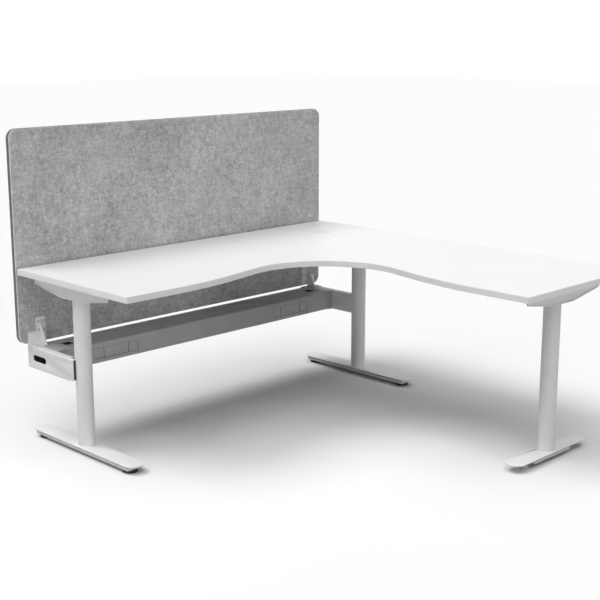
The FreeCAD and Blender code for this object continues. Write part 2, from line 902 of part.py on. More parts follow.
# Trough of the cable tray: folded sheet with two lips along its top
def trough_section():
    sheet = tray_sheet
    back = tray_back
    front = tray_front
    low = trough_bottom
    high = trough_top
    points = [
        (back, high), (back, low), (front, low), (front, high),
        (front - tray_lip, high), (front - tray_lip, high - sheet), (front - sheet, high - sheet),
        (front - sheet, low + sheet), (back + sheet, low + sheet), (back + sheet, high - sheet),
        (back + tray_lip, high - sheet), (back + tray_lip, high),
    ]
    bend = tray_bend
    inner = tray_bend - sheet
    radii = [bend, bend, bend, bend, 0, 0, inner, inner, inner, inner, 0, 0]
    return points, radii


# Outlet groups: a wide blank between two narrow ones, one group at each end
def outlet_groups():
    group = outlet_wide + 2 * outlet_narrow
    return {
        "left": left_web_inside - outlet_inset - group,
        "right": right_web_outside + outlet_inset_right,
    }


def outlet_cells(start):
    first = start + outlet_narrow
    second = first + outlet_wide
    return {
        "narrow": [(start, first), (second, second + outlet_narrow)],
        "wide": [(first, second)],
    }


def outlet_heights():
    middle = (trough_bottom + trough_top) / 2 - tray_sheet
    return middle - outlet_height / 2, middle + outlet_height / 2


def make_trough():
    points, radii = trough_section()
    right_end = right_web_outside
    left_end = left_web_inside - arm_inner_bend
    trough = side_run(points, radii, right_end, left_end)
    low, high = outlet_heights()
    for start in outlet_groups().values():
        stop = start + outlet_wide + 2 * outlet_narrow
        window = block(start, stop, tray_front - tray_sheet - tray_bend, tray_front + overrun, low, high)
        trough = trough.cut(window)
    return trough


# A blank fills its share of the window and grips the wall from behind
def make_blank(start, stop):
    low, high = outlet_heights()
    gap = outlet_reveal / 2
    face = block(start + gap, stop - gap, tray_front - tray_sheet, tray_front - outlet_reveal / 2,
                 low + gap, high - gap)
    rim = block(start + gap, stop - gap, tray_front - 2 * tray_sheet, tray_front - tray_sheet,
                low - outlet_rim, high + outlet_rim)
    return face.fuse(rim).removeSplitter()


def make_blanks(kind, start):
    return [make_blank(first, last) for first, last in outlet_cells(start)[kind]]


def bush_spots():
    return [left_web_inside - bush_inset, right_web_outside + bush_inset_right]


# The lid stays clear of the screen above it, so that it can be lifted out
def make_lid():
    lid = block(left_lid_edge, right_lid_edge, lid_back, tray_front, trough_top, lid_top)
    for edge, side in ((tray_back + tray_lip, 1), (tray_front - tray_lip, -1)):
        near = edge + side * lid_side_play
        skirt = block(left_lid_edge, right_lid_edge, near, near + side * tray_sheet,
                      trough_top - lid_skirt, trough_top)
        lid = lid.fuse(skirt)
    half = bush_opening / 2 + bush_wall + running_fit
    for spot in bush_spots():
        hole = block(spot - half, spot + half, tray_middle - half, tray_middle + half,
                     trough_top - overrun, lid_top + overrun)
        lid = lid.cut(hole)
    return lid.removeSplitter()


def make_bush(spot):
    half = bush_opening / 2
    outer = half + bush_wall
    rim = outer + bush_flange - running_fit
    sleeve = block(spot - outer, spot + outer, tray_middle - outer, tray_middle + outer,
                   lid_top - bush_depth, lid_top)
    flange = plan_plate(spot - rim, spot + rim, tray_middle - rim, tray_middle + rim,
                        lid_top, lid_top + bush_flange_thickness, bush_wall)
    opening = block(spot - half, spot + half, tray_middle - half, tray_middle + half,
                    lid_top - bush_depth - overrun, lid_top + overrun)
    return sleeve.fuse(flange).cut(opening).removeSplitter()


# Folded cover over the tray's end, level with the channel's upper flange
def make_end_cover(outer, inner):
    side = 1 if outer > inner else -1
    wall = tray_sheet
    outer_edge = outer - side * lid_end_gap
    shell = block(outer_edge, inner, tray_back, tray_front, trough_top, tray_arm_top)
    hollow = block(outer_edge - side * wall, inner + side * wall, tray_back + wall,
                   tray_front - wall, trough_top - overrun, tray_arm_top - wall)
    return shell.cut(hollow)


# Build the pieces, each under its own node name
nodes = {}

worktop = worktop_slab(edge_band_thickness)
nodes["edge_band"] = make_edge_band(worktop)
port_hole = rod(port_hole_diameter / 2, port_centre(worktop_underside - overrun), up,
                worktop_thickness + 2 * overrun)
port_rebate = rod(port_flange_diameter / 2 + port_rebate_play,
                  port_centre(worktop_height - port_rebate_depth), up, port_rebate_depth + overrun)
worktop = worktop.cut(port_hole).cut(port_rebate)

worktop_screws = []
column_bolts = []
foot_bolts = []
leveller_nuts = []
for name, leg in legs.items():
    reach, (setback, pad_diameter, pad_top_diameter), outward = leg[3], leg[4], leg[5]
    nodes["column_" + name] = place_on_leg(make_column(), leg)
    nodes["column_head_plate_" + name] = place_on_leg(make_head_plate(), leg)
    nodes["column_base_plug_" + name] = place_on_leg(make_base_plug(), leg)
    nodes["support_arm_" + name] = place_on_leg(make_support_arm(outward), leg)
    nodes["foot_plate_" + name] = place_on_leg(make_foot_plate(reach), leg)
    nodes["foot_channel_" + name] = place_on_leg(make_foot_channel(reach, setback), leg)
    for end, spot in leveller_spots(reach, setback).items():
        pad = make_leveller(spot, pad_diameter, pad_top_diameter)
        nodes["leveller_" + name + "_" + end] = place_on_leg(pad, leg)
        leveller_nuts.append(place_on_leg(make_leveller_nut(spot), leg))
    for spot in arm_screw_spots():
        screw = fastener(spot, up, arm_screw_reach, screw_diameter, screw_head_diameter,
                         screw_head_height)
        worktop_screws.append(place_on_leg(screw, leg))
        pilot = place_on_leg(bore(spot, up, arm_screw_reach, screw_diameter), leg)
        worktop = worktop.cut(pilot)
    for spot in head_bolt_spots():
        bolt = fastener(spot, up, head_bolt_reach, bolt_diameter, bolt_head_diameter,
                        bolt_head_height)
        column_bolts.append(place_on_leg(bolt, leg))
    for spot in foot_bolt_spots():
        bolt = fastener(spot, up, foot_bolt_reach, bolt_diameter, bolt_head_diameter,
                        bolt_head_height)
        foot_bolts.append(place_on_leg(bolt, leg))

nodes["worktop"] = worktop
nodes["worktop_screws"] = worktop_screws
nodes["column_bolts"] = column_bolts
nodes["foot_bolts"] = foot_bolts
nodes["leveller_nuts"] = leveller_nuts

nodes["cable_port_liner"] = make_port_liner()
nodes["cable_port_cap"] = make_port_cap()

nodes["rear_rail"] = make_rear_rail()
nodes["return_rail"] = make_return_rail()
rail_bolt_solids = []
rail_arms = ["support_arm_left", "support_arm_corner", "support_arm_right", "rear_rail",
             "return_rail"]
for seat, direction in rail_bolts():
    rail_bolt_solids.append(fastener(seat, direction, rail_bolt_reach, bolt_diameter,
                                     bolt_head_diameter, bolt_head_height))
    hole = bore(seat, direction, rail_bolt_reach + thread_fit, bolt_diameter)
    for node in rail_arms:
        nodes[node] = nodes[node].cut(hole)
nodes["rail_bolts"] = rail_bolt_solids

nodes.update(make_screen())
screen_screw_solids = []
for name, (edge, side, gusset_place, _) in bracket_sides().items():
    bracket = make_screen_bracket(edge, side, gusset_place)
    for seat, direction in screen_screws():
        bracket = bracket.cut(bore(seat, direction, screen_screw_reach, screw_diameter))
    for seat, direction in bracket_foot_screws():
        bracket = bracket.cut(bore(seat, direction, bracket_foot_reach, screw_diameter))
    nodes["screen_bracket_" + name] = bracket
for seat, direction in screen_screws():
    screen_screw_solids.append(fastener(seat, direction, screen_screw_reach, screw_diameter,
                                        screw_head_diameter, screw_head_height))
for seat, direction in bracket_foot_screws():
    screen_screw_solids.append(fastener(seat, direction, bracket_foot_reach, screw_diameter,
                                        screw_head_diameter, screw_head_height))
nodes["bracket_screws"] = screen_screw_solids

nodes["tray_arm_left"] = make_left_tray_arm()
nodes["tray_arm_right"] = make_right_tray_arm()
nodes["arm_pad_left"] = make_left_pad()
nodes["arm_pad_right"] = make_right_pad()
nodes["arm_bolts"] = make_pad_bolts("left") + make_pad_bolts("right")
pad_columns = {"left": "column_left", "right": "column_corner"}
for side, column in pad_columns.items():
    for seat, direction in pad_bolts(side):
        hole = bore(seat, direction, pad_bolt_reach, bolt_diameter)
        nodes[column] = nodes[column].cut(hole)

nodes["cable_tray"] = make_trough()
nodes["tray_lid"] = make_lid()
nodes["lid_bushes"] = [make_bush(spot) for spot in bush_spots()]
nodes["tray_end_cover_left"] = make_end_cover(left_flange_edge, left_bracket_edge)
nodes["tray_end_cover_right"] = make_end_cover(right_web_outside, right_bracket_edge)
for name, start in outlet_groups().items():
    nodes["socket_blank_" + name] = make_blanks("wide", start)
    nodes["data_blanks_" + name] = make_blanks("narrow", start)

os.makedirs("parts", exist_ok=True)
for name, shape in nodes.items():
    solids = shape if isinstance(shape, list) else [shape]
    kept = Part.makeCompound([piece for solid in solids for piece in solid.Solids])
    whole = kept.Solids[0] if len(kept.Solids) == 1 else kept
    whole.exportStep("parts/" + name + ".step")
    print(name, len(kept.Solids), round(kept.Volume), kept.isValid())
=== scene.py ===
import json
import math

import bpy
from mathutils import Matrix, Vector

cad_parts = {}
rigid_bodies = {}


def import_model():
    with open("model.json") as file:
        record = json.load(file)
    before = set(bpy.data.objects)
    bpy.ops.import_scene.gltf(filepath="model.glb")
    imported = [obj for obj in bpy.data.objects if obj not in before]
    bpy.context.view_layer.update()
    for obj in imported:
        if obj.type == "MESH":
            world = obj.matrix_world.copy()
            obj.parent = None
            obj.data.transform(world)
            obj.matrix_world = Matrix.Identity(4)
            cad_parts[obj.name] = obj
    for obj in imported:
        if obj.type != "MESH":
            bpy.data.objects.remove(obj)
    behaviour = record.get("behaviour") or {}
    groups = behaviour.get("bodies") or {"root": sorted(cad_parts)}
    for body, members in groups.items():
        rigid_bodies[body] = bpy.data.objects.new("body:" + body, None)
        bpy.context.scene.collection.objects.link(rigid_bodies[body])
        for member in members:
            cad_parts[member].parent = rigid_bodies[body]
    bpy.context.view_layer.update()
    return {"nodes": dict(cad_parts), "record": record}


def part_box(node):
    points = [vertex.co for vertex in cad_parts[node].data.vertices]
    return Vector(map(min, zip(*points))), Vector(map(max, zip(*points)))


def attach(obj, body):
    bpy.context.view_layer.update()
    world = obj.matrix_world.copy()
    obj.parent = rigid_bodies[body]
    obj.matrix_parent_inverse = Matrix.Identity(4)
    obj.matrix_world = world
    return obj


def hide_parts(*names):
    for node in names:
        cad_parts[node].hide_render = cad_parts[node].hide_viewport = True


# Corner workstation: the solids come from the frame. This script softens their edges, shapes screw heads,
# foot channels and felt, gives every piece its finish, and adds the floor, the light and the camera.
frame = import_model()
nodes = frame["nodes"]
bpy.ops.object.select_all(action="DESELECT")
millimetre = 0.001
slotOfNode = {part["node"]: part["material_slot"] for part in frame["record"]["subparts"]}
bodyOfNode = {node: body for body, members in frame["record"]["behaviour"]["bodies"].items()
              for node in members}
print("frame loaded:", len(nodes), "pieces")


# Small tools for shaders

# value is a plain value or the output of another node
def feed(tree, value, socket):
    if isinstance(value, bpy.types.NodeSocket):
        tree.links.new(value, socket)
    else:
        socket.default_value = value


def addNode(tree, kind, **inputs):
    node = tree.nodes.new(kind)
    for name, value in inputs.items():
        feed(tree, value, node.inputs[name.replace("_", " ")])
    return node


def newGroup(name, inputs, outputs):
    group = bpy.data.node_groups.new(name, "ShaderNodeTree")
    for label in inputs:
        group.interface.new_socket(label, in_out="INPUT", socket_type="NodeSocketFloat")
    for label in outputs:
        group.interface.new_socket(label, in_out="OUTPUT", socket_type="NodeSocketFloat")
    return group, group.nodes.new("NodeGroupInput"), group.nodes.new("NodeGroupOutput")


def useGroup(tree, group, settings):
    node = tree.nodes.new("ShaderNodeGroup")
    node.node_tree = group
    for name, value in settings.items():
        node.inputs[name].default_value = value
    return node


def mixColours(tree, mask, first, second, blend="MIX"):
    mix = tree.nodes.new("ShaderNodeMix")
    mix.data_type = "RGBA"
    mix.blend_type = blend
    # the node's colour sockets are its inputs 6 and 7 and its output 2
    for socket, value in ((mix.inputs[0], mask), (mix.inputs[6], first), (mix.inputs[7], second)):
        feed(tree, value, socket)
    return mix.outputs[2]


def sums(tree, operation, *values):
    node = tree.nodes.new("ShaderNodeMath")
    node.operation = operation
    for socket, value in zip(node.inputs, values):
        feed(tree, value, socket)
    return node.outputs[0]


def average(tree, first, second):
    return sums(tree, "MULTIPLY_ADD", first, 0.5, sums(tree, "MULTIPLY", second, 0.5))


# character holds the noise's detail, roughness and distortion
def noise(tree, place, scale, character):
    detail, roughness, distortion = character
    return addNode(tree, "ShaderNodeTexNoise", Vector=place, Scale=scale, Detail=detail,
                   Roughness=roughness, Distortion=distortion).outputs["Fac"]


def spread(tree, value, low, high, toLow=0.0, toHigh=1.0):
    return addNode(tree, "ShaderNodeMapRange", Value=value, From_Min=low, From_Max=high,
                   To_Min=toLow, To_Max=toHigh).outputs["Result"]


# Effects that several finishes share

# the values between which most of a noise lies, taken wide or narrow
wideRange = (0.3, 0.7)
narrowRange = (0.35, 0.65)
noiseMiddle = 0.5

# Fine skin of powder coat, melamine or moulded plastic: a height, and a mask of slightly duller patches
grainCharacter = (2.0, 0.6, 0.0)
patchCharacter = (4.0, 0.55, 0.4)
surfaceGrain, grainIn, grainOut = newGroup(
    "surfaceGrain", ("grainScale", "patchScale"), ("height", "patches"))
grainPlace = addNode(surfaceGrain, "ShaderNodeTexCoord").outputs["Object"]
grain = noise(surfaceGrain, grainPlace, grainIn.outputs["grainScale"], grainCharacter)
patches = noise(surfaceGrain, grainPlace, grainIn.outputs["patchScale"], patchCharacter)
feed(surfaceGrain, grain, grainOut.inputs["height"])
feed(surfaceGrain, spread(surfaceGrain, patches, *narrowRange), grainOut.inputs["patches"])

# Pressed felt: soft blotches, wisps that run both ways and single fibres, with a slight drift of hue.
# Each layer: the input that gives its scale, its stretch along x, y and z, and its noise's character.
feltLayers = {
    "clouds": ("cloudScale", (1, 1, 1), (3.0, 0.5, 0.3)),
    "blotches": ("blotchScale", (1, 1, 1), (5.0, 0.6, 0.5)),
    "upright": ("wispScale", (1.3, 1, 0.5), (3.0, 0.6, 1.4)),
    "level": ("wispScale", (0.5, 1, 1.4), (3.0, 0.6, 1.4)),
    "fibres": ("fibreScale", (1, 1, 0.6), (2.0, 0.7, 2.5)),
    "crossFibres": ("fibreScale", (0.6, 1, 1), (2.0, 0.7, 2.5)),
    "hues": ("blotchScale", (0.2, 0.2, 0.2), (2.0, 0.5, 0.3)),
    "strands": ("strandScale", (1, 1, 1), (2.0, 0.5, 3.0)),
}
# how much each layer adds to the tone, and to the height
feltTones = {"clouds": 0.24, "blotches": 0.32, "upright": 0.5, "level": 0.5, "bothFibres": 0.22}
feltHeights = {"bothFibres": 0.6, "upright": 0.4}
# dark single strands: how thin, where they gather, and how dark
feltStrands = {"thin": 0.012, "gather": (0.54, 0.66), "dark": -0.55}

feltFibres, feltIn, feltOut = newGroup(
    "feltFibres", ("cloudScale", "blotchScale", "wispScale", "fibreScale", "strandScale"),
    ("tone", "hue", "height"))
feltPlace = addNode(feltFibres, "ShaderNodeTexCoord").outputs["Object"]
felt = {}
for name, (scaleName, stretch, character) in feltLayers.items():
    place = addNode(feltFibres, "ShaderNodeMapping", Vector=feltPlace, Scale=stretch).outputs["Vector"]
    felt[name] = noise(feltFibres, place, feltIn.outputs[scaleName], character)
felt["bothFibres"] = average(feltFibres, felt["fibres"], felt["crossFibres"])

# a strand runs wherever its noise passes the middle value
offMiddle = sums(feltFibres, "ABSOLUTE", sums(feltFibres, "SUBTRACT", felt["strands"], noiseMiddle))
strandLine = spread(feltFibres, offMiddle, 0, feltStrands["thin"], 1, 0)
strandPlace = spread(feltFibres, felt["blotches"], *feltStrands["gather"])
strands = sums(feltFibres, "MULTIPLY", strandLine, strandPlace)
toneSum = noiseMiddle
for name, share in feltTones.items():
    layerTone = spread(feltFibres, felt[name], *wideRange, -noiseMiddle, noiseMiddle)
    toneSum = sums(feltFibres, "MULTIPLY_ADD", layerTone, share, toneSum)
toneSum = sums(feltFibres, "MULTIPLY_ADD", strands, feltStrands["dark"], toneSum)
heightSum = 0.0
for name, share in feltHeights.items():
    heightSum = sums(feltFibres, "MULTIPLY_ADD", felt[name], share, heightSum)
feed(feltFibres, toneSum, feltOut.inputs["tone"])
feed(feltFibres, spread(feltFibres, felt["hues"], *narrowRange), feltOut.inputs["hue"])
feed(feltFibres, heightSum, feltOut.inputs["height"])
print("shared shader groups built")


# Finishes

def opaque(colour):
    return (*colour, 1)


def newFinish(name):
    material = bpy.data.materials.new(name)
    material.use_nodes = True
    return material, material.node_tree, material.node_tree.nodes["Principled BSDF"]


def setInputs(shader, values):
    for name, value in values.items():
        shader.inputs[name].default_value = value


def addBump(tree, shader, height, look):
    bump = addNode(tree, "ShaderNodeBump", Height=height, Strength=look["bump"], Distance=look["bumpDepth"])
    feed(tree, bump.outputs["Normal"], shader.inputs["Normal"])


def coatedFinish(name, look):
    material, tree, shader = newFinish(name)
    skin = useGroup(tree, surfaceGrain, look["scales"])
    dull = skin.outputs["patches"]
    colour = mixColours(tree, dull, opaque(look["colour"]), opaque(look["dullColour"]))
    feed(tree, colour, shader.inputs["Base Color"])
    feed(tree, spread(tree, dull, 0, 1, look["roughness"], look["dullRoughness"]), shader.inputs["Roughness"])
    setInputs(shader, look.get("gloss", {}))
    addBump(tree, shader, skin.outputs["height"], look)
    return material


finishLooks = {
    "whiteMelamine": dict(
        colour=(0.89, 0.89, 0.893), dullColour=(0.87, 0.87, 0.873), roughness=0.42, dullRoughness=0.5,
        scales={"grainScale": 1400, "patchScale": 5}, bump=0.12, bumpDepth=0.2 * millimetre),
    "whiteEdging": dict(
        colour=(0.93, 0.93, 0.932), dullColour=(0.91, 0.91, 0.913), roughness=0.4, dullRoughness=0.48,
        scales={"grainScale": 700, "patchScale": 14}, bump=0.1, bumpDepth=0.2 * millimetre,
        gloss={"Coat Weight": 0.8, "Coat Roughness": 0.2}),
    "whitePowderCoat": dict(
        colour=(0.89, 0.89, 0.89), dullColour=(0.86, 0.86, 0.86), roughness=0.4, dullRoughness=0.5,
        scales={"grainScale": 1100, "patchScale": 9}, bump=0.2, bumpDepth=0.2 * millimetre),
    "trayPowderCoat": dict(
        colour=(0.5, 0.5, 0.5), dullColour=(0.46, 0.46, 0.46), roughness=0.42, dullRoughness=0.5,
        scales={"grainScale": 1100, "patchScale": 9}, bump=0.2, bumpDepth=0.2 * millimetre),
    # black powder coat, also used as painted shade in the gap of the foot channels
    "blackCoatAndPaintedShade": dict(
        colour=(0.03, 0.03, 0.032), dullColour=(0.045, 0.045, 0.045), roughness=0.45, dullRoughness=0.55,
        scales={"grainScale": 1000, "patchScale": 9}, bump=0.25, bumpDepth=0.2 * millimetre),
    "palePlastic": dict(
        colour=(0.88, 0.88, 0.884), dullColour=(0.85, 0.85, 0.854), roughness=0.45, dullRoughness=0.55,
        scales={"grainScale": 1800, "patchScale": 40}, bump=0.3, bumpDepth=0.2 * millimetre),
    # black plastic, also used as painted shade in the joints round the tray's blanks
    "blackPlasticAndPaintedShade": dict(
        colour=(0.02, 0.02, 0.021), dullColour=(0.035, 0.035, 0.035), roughness=0.45, dullRoughness=0.6,
        scales={"grainScale": 1600, "patchScale": 30}, bump=0.35, bumpDepth=0.2 * millimetre),
    "zincPlate": dict(
        colour=(0.62, 0.62, 0.64), dullColour=(0.5, 0.5, 0.53), roughness=0.28, dullRoughness=0.45,
        scales={"grainScale": 900, "patchScale": 60}, bump=0.1, bumpDepth=0.1 * millimetre,
        gloss={"Metallic": 1.0}),
}
finishes = {name: coatedFinish(name, look) for name, look in finishLooks.items()}

feltLook = {
    "darkTone": (0.27, 0.269, 0.272),
    "lightTone": (0.75, 0.746, 0.747),
    "warmShift": (1.012, 0.997, 1.006),
    "coolShift": (0.994, 1.004, 0.99),
    "scales": {"cloudScale": 3.5, "blotchScale": 24, "wispScale": 72, "fibreScale": 380, "strandScale": 16},
    "gloss": {"Roughness": 0.95, "Specular IOR Level": 0.15, "Sheen Weight": 0.25, "Sheen Roughness": 0.6},
    "bump": 0.55,
    "bumpDepth": 0.6 * millimetre,
}
# the screen's dark cut edge, and a painted highlight on the rim beside it
cutEdgeTones = {"darkTone": (0.08, 0.08, 0.08), "lightTone": (0.2, 0.2, 0.2)}
paintedHighlightTones = {"darkTone": (0.72, 0.72, 0.72), "lightTone": (0.9, 0.9, 0.9)}


def feltFinish(name, look):
    material, tree, shader = newFinish(name)
    fibres = useGroup(tree, feltFibres, look["scales"])
    tone = mixColours(tree, fibres.outputs["tone"], opaque(look["darkTone"]), opaque(look["lightTone"]))
    shift = mixColours(tree, fibres.outputs["hue"], opaque(look["warmShift"]), opaque(look["coolShift"]))
    feed(tree, mixColours(tree, 1.0, tone, shift, "MULTIPLY"), shader.inputs["Base Color"])
    setInputs(shader, look["gloss"])
    addBump(tree, shader, fibres.outputs["height"], look)
    return material


greyFelt = feltFinish("greyFelt", feltLook)
cutEdge = feltFinish("cutEdge", {**feltLook, **cutEdgeTones})
paintedHighlightRim = feltFinish("paintedHighlightRim", {**feltLook, **paintedHighlightTones})

# what isn't listed is the screen's core and felt
finishOfSlot = {
    "worktop_board": "whiteMelamine", "edge_trim": "whiteEdging", "pale_plastic": "palePlastic",
    "white_steel": "whitePowderCoat", "grey_steel": "trayPowderCoat", "rail_steel": "blackCoatAndPaintedShade",
    "black_plastic": "blackPlasticAndPaintedShade", "zinc_steel": "zincPlate",
}


def dress(piece, material):
    piece.data.materials.clear()
    piece.data.materials.append(material)


for name, piece in nodes.items():
    slot = slotOfNode[name]
    dress(piece, finishes[finishOfSlot[slot]] if slot in finishOfSlot else cutEdge)
print("finishes given to the frame's pieces")


# Modelling by hand

def selectOnly(piece):
    bpy.ops.object.select_all(action="DESELECT")
    piece.select_set(True)
    bpy.context.view_layer.objects.active = piece


def startPiece(name, size, middle):
    bpy.ops.object.select_all(action="DESELECT")
    bpy.ops.mesh.primitive_cube_add(size=1, location=middle)
    piece = bpy.context.object
    piece.name = name
    piece.scale = size
    bpy.ops.object.transform_apply(location=True, rotation=True, scale=True)
    return piece


def clearPicks(kind):
    bpy.ops.object.mode_set(mode="EDIT")
    bpy.ops.mesh.select_mode(type=kind)
    bpy.ops.mesh.select_all(action="DESELECT")
    bpy.ops.object.mode_set(mode="OBJECT")


def pickEdges(piece, chosen):
    clearPicks("EDGE")
    corners = piece.data.vertices
    for edge in piece.data.edges:
        edge.select = chosen(*(corners[index].co for index in edge.vertices))
    bpy.ops.object.mode_set(mode="EDIT")


def pickFaces(piece, chosen):
    clearPicks("FACE")
    for face in piece.data.polygons:
        face.select = chosen(face.normal)
    bpy.ops.object.mode_set(mode="EDIT")


def extrudeAlong(x, y, z):
    bpy.ops.mesh.extrude_region_move(TRANSFORM_OT_translate={"value": (x, y, z)})


# rounds the edges that turn by more than sharpest degrees
def roundEdges(piece, radius, steps, sharpest=30):
    bpy.ops.object.mode_set(mode="OBJECT")
    rounding = piece.modifiers.new("rounding", "BEVEL")
    rounding.width = radius
    rounding.segments = steps
    rounding.limit_method = "ANGLE"
    rounding.angle_limit = math.radians(sharpest)
    rounding.use_clamp_overlap = False
    bpy.context.view_layer.objects.active = piece
    bpy.ops.object.modifier_apply(modifier=rounding.name)


def cutAcross(step, low, high, direction):
    place = low + step
    while place < high - step / 2:
        point = [place * part for part in direction]
        bpy.ops.mesh.select_all(action="SELECT")
        bpy.ops.mesh.bisect(plane_co=point, plane_no=direction)
        place += step


mergeDistance = 0.002 * millimetre
flatAngle = math.radians(0.5)
smoothAngle = math.radians(35)


def pieceName(nodeName):
    first, *others = nodeName.split("_")
    return first + "".join(word.capitalize() for word in others)


# A copy of a frame piece to work on: its loose triangles are merged and flat faces made one
def copyPiece(nodeName):
    piece = bpy.data.objects.new(pieceName(nodeName), nodes[nodeName].data.copy())
    bpy.context.collection.objects.link(piece)
    selectOnly(piece)
    bpy.ops.object.mode_set(mode="EDIT")
    bpy.ops.mesh.select_all(action="SELECT")
    bpy.ops.mesh.remove_doubles(threshold=mergeDistance)
    bpy.ops.mesh.dissolve_limited(angle_limit=flatAngle)
    bpy.ops.object.mode_set(mode="OBJECT")
    return piece


def finishPiece(piece, nodeName, material):
    dress(piece, material)
    selectOnly(piece)
    bpy.ops.object.shade_smooth_by_angle(angle=smoothAngle)
    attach(piece, bodyOfNode[nodeName])
    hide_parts(nodeName)


# Sheet metal and mouldings of the frame get the small radii of a real edge. Each row: radius in
# millimetres, steps, and the angle in degrees above which an edge is rounded.
softEdges = {
    "edge_band": (0.4, 1, 50),
    "cable_port_liner": (0.7, 3, 30),
    "cable_port_cap": (0.6, 3, 30),
    "support_arm_left": (0.8, 2, 30),
    "support_arm_corner": (0.8, 2, 30),
    "support_arm_right": (0.8, 2, 30),
    "foot_plate_left": (1.0, 3, 30),
    "foot_plate_corner": (1.0, 3, 30),
    "foot_plate_right": (1.0, 3, 30),
    "screen_bracket_left": (0.6, 2, 30),
    "screen_bracket_right": (0.6, 2, 30),
    "tray_arm_left": (0.5, 2, 30),
    "tray_arm_right": (0.5, 2, 30),
    "cable_tray": (0.4, 2, 30),
    "tray_lid": (0.4, 2, 30),
    "tray_end_cover_left": (0.4, 2, 30),
    "tray_end_cover_right": (0.4, 2, 30),
    "lid_bushes": (0.4, 2, 30),
    "socket_blank_left": (0.4, 2, 30),
    "socket_blank_right": (0.4, 2, 30),
    "data_blanks_left": (0.4, 2, 30),
    "data_blanks_right": (0.4, 2, 30),
    "arm_pad_left": (0.8, 2, 30),
    "arm_pad_right": (0.8, 2, 30),
    "leveller_left_front": (1.2, 3, 30),
    "leveller_left_back": (1.2, 3, 30),
    "leveller_corner_front": (1.2, 3, 30),
    "leveller_corner_back": (1.2, 3, 30),
    "leveller_right_front": (1.0, 3, 30),
    "leveller_right_back": (1.0, 3, 30),
}
for nodeName, (radius, steps, sharpest) in softEdges.items():
    piece = copyPiece(nodeName)
    roundEdges(piece, radius * millimetre, steps, sharpest)
    finishPiece(piece, nodeName, finishes[finishOfSlot[slotOfNode[nodeName]]])
print("edges softened on", len(softEdges), "pieces")

# The joint round each blank in the tray shows as a dark line of painted shade: faces deeper than this are
# painted black to stand for the shadow in the recess
jointShadeDepth = 0.5 * millimetre
for nodeName in ("socket_blank_left", "socket_blank_right", "data_blanks_left", "data_blanks_right"):
    blank = bpy.data.objects[pieceName(nodeName)]
    blank.data.materials.append(finishes["blackPlasticAndPaintedShade"])
    faceY = min(vertex.co.y for vertex in blank.data.vertices)
    for face in blank.data.polygons:
        if face.center.y > faceY + jointShadeDepth:
            face.material_index = 1


# Heads of screws and bolts: a domed rim and a hexagon socket in the middle of each head. The shares are
# of a head's radius.
headShape = {
    "rimShare": 0.16,
    "rimSteps": 3,
    "rimSharpest": 60,
    "socketShare": 0.5,
    "socketSides": 6,
    "socketDepth": 1.6 * millimetre,
}


def looseParts(mesh):
    leader = list(range(len(mesh.vertices)))

    def leaderOf(index):
        while leader[index] != index:
            leader[index] = leader[leader[index]]
            index = leader[index]
        return index

    for edge in mesh.edges:
        first, second = edge.vertices
        leader[leaderOf(first)] = leaderOf(second)
    parts = {}
    for face in mesh.polygons:
        parts.setdefault(leaderOf(face.vertices[0]), []).append(face)
    return list(parts.values())


def shapeHeads(nodeName, shape):
    piece = copyPiece(nodeName)
    # the largest face of each screw is the top of its head
    tops = []
    for part in looseParts(piece.data):
        top = max(part, key=lambda face: face.area)
        tops.append((top.center.copy(), top.normal.copy(), math.sqrt(top.area / math.pi)))
    headRadius = max(radius for _, _, radius in tops)
    roundEdges(piece, headRadius * shape["rimShare"], shape["rimSteps"], shape["rimSharpest"])
    sockets = []
    for centre, normal, radius in tops:
        bpy.ops.mesh.primitive_cylinder_add(
            vertices=shape["socketSides"], radius=radius * shape["socketShare"],
            depth=2 * shape["socketDepth"], location=centre,
            rotation=normal.to_track_quat("Z", "Y").to_euler())
        sockets.append(bpy.context.object)
    bpy.ops.object.select_all(action="DESELECT")
    for socket in sockets:
        socket.select_set(True)
    bpy.context.view_layer.objects.active = sockets[0]
    bpy.ops.object.join()
    cutter = bpy.context.object
    cutting = piece.modifiers.new("sockets", "BOOLEAN")
    cutting.operation = "DIFFERENCE"
    cutting.solver = "EXACT"
    cutting.object = cutter
    selectOnly(piece)
    bpy.ops.object.modifier_apply(modifier=cutting.name)
    bpy.data.objects.remove(cutter)
    finishPiece(piece, nodeName, finishes["zincPlate"])


fastenerNodes = ("bracket_screws", "worktop_screws", "column_bolts", "foot_bolts", "rail_bolts", "arm_bolts")
for nodeName in fastenerNodes:
    shapeHeads(nodeName, headShape)
print("heads shaped on", len(fastenerNodes), "groups of fasteners")


# Foot channels: an open pan with a narrower neck, which leaves a shadow gap under the foot plate, and the
# faces of that gap are painted black as painted shade. The one under the return wing is short, and its glides
# stand beyond its ends.
footChannelShape = {
    "neckInset": 6 * millimetre,
    "neckHeight": 4.8 * millimetre,
    "wall": 2.5 * millimetre,
    "cornerRadius": 2.5 * millimetre,
    "cornerSteps": 3,
    "edgeRadius": 0.5 * millimetre,
    "edgeSteps": 2,
    "shortHalf": 128 * millimetre,
    # how far a face's normal must point up or down to count as top or bottom
    "upright": 0.9,
}


